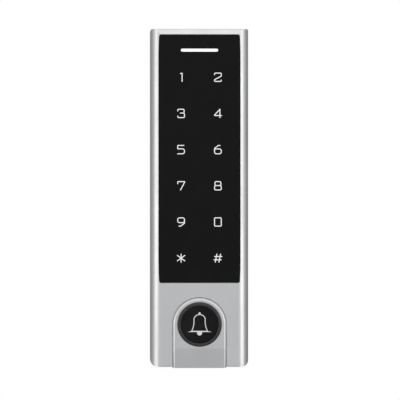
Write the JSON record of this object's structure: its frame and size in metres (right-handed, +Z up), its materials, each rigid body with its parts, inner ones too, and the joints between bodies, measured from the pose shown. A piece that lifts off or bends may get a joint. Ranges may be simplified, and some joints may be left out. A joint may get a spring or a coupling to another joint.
{
  "type": "keypad access reader",
  "caption": "Slim wall-mounted access reader: black touch keypad in a silver metal housing, lit status bar and a bell push button in a raised arch.",
  "frame": {"origin": "on the wall plane, at the middle of the housing's width and height", "axes": "+Z up along the long side, -Y out of the front face, +Y into the wall, +X to the right seen from the front"},
  "size_m": [0.044, 0.0405, 0.1522],
  "materials": {
    "housing_metal": "satin silver finish on die-cast zinc",
    "surround_metal": "satin silver finish on die-cast zinc",
    "panel_black": "polished black touch panel",
    "legend_white": "translucent white, lit from behind",
    "light_pipe": "translucent white light pipe",
    "adhesive_tape": "black foam tape",
    "diffuser_acrylic": "milky acrylic",
    "copper": "bare and lacquered copper",
    "board_green": "green solder resist on glass-fibre board",
    "lamp_white": "white lamp with clear lens",
    "chip_black": "moulded black epoxy with tinned legs",
    "relay_black": "black moulded case",
    "tin_steel": "drawn metal can",
    "connector_plastic": "black moulded plastic",
    "spacer_plastic": "black moulded plastic",
    "zinc_steel": "zinc-plated steel",
    "sensor_resin": "light sensor face",
    "clear_plastic": "clear plug",
    "seal_rubber": "black silicone rubber",
    "bezel_dark": "black-finished metal ring",
    "nut_brass": "nickel-plated brass",
    "cap_black": "black moulded cap",
    "spring_steel": "bright spring steel",
    "cover_plastic": "black moulded plastic, lightly textured",
    "wire_insulation": "coloured flexible insulation",
    "solder": "bright solder",
    "plate_steel": "zinc-plated sheet steel",
    "screw_stainless": "stainless steel"
  },
  "bodies": {
    "reader": {"front_housing": "housing_metal", "button_surround": "surround_metal", "touch_panel": "panel_black", "key_legends": "legend_white", "status_light_bar": "light_pipe", "panel_adhesive": "adhesive_tape", "light_guide": "diffuser_acrylic", "touch_pads": "copper", "touch_board": "board_green", "main_board": "board_green", "key_lamps": "lamp_white", "status_lamps": "lamp_white", "antenna_coil": "copper", "touch_controller": "chip_black", "microcontroller": "chip_black", "card_reader_chip": "chip_black", "memory_chip": "chip_black", "voltage_regulator": "chip_black", "protection_diodes": "chip_black", "chip_resistors": "chip_black", "door_relay": "relay_black", "buzzer": "relay_black", "crystal": "tin_steel", "power_capacitor": "tin_steel", "board_header": "connector_plastic", "board_socket": "connector_plastic", "board_spacer": "spacer_plastic", "board_screws": "zinc_steel", "cover_screws": "zinc_steel", "tamper_sensor": "sensor_resin", "tamper_window": "clear_plastic", "bezel_seal": "seal_rubber", "back_cover_gasket": "seal_rubber", "cable_grommet": "seal_rubber", "button_bezel": "bezel_dark", "bezel_nut": "nut_brass", "button_spring": "spring_steel", "push_switch": "relay_black", "back_cover": "cover_plastic", "lead_wires": "wire_insulation", "wire_cores": "copper", "solder_joints": "solder", "wall_plate": "plate_steel", "security_screw": "screw_stainless"},
    "bell_button": {"button_cap": "cap_black", "bell_symbol": "legend_white", "cap_seal": "seal_rubber", "retaining_clip": "spring_steel"},
    "switch_plunger": {"switch_plunger": "connector_plastic"}
  },
  "joints": [
    {"name": "bell_press", "type": "slide", "parent": "reader", "child": "bell_button", "axis": [0, 1, 0], "range_m": [0, 0.0008], "stiffness_N_per_m": 1200, "springref_m": -0.001, "deforming": ["button_spring"]},
    {"name": "switch_press", "type": "slide", "parent": "reader", "child": "switch_plunger", "axis": [0, 1, 0], "range_m": [0, 0.0008]}
  ],
  "couplings": [
    {"joint": "switch_press", "follows": "bell_press", "ratio": 1}
  ]
}
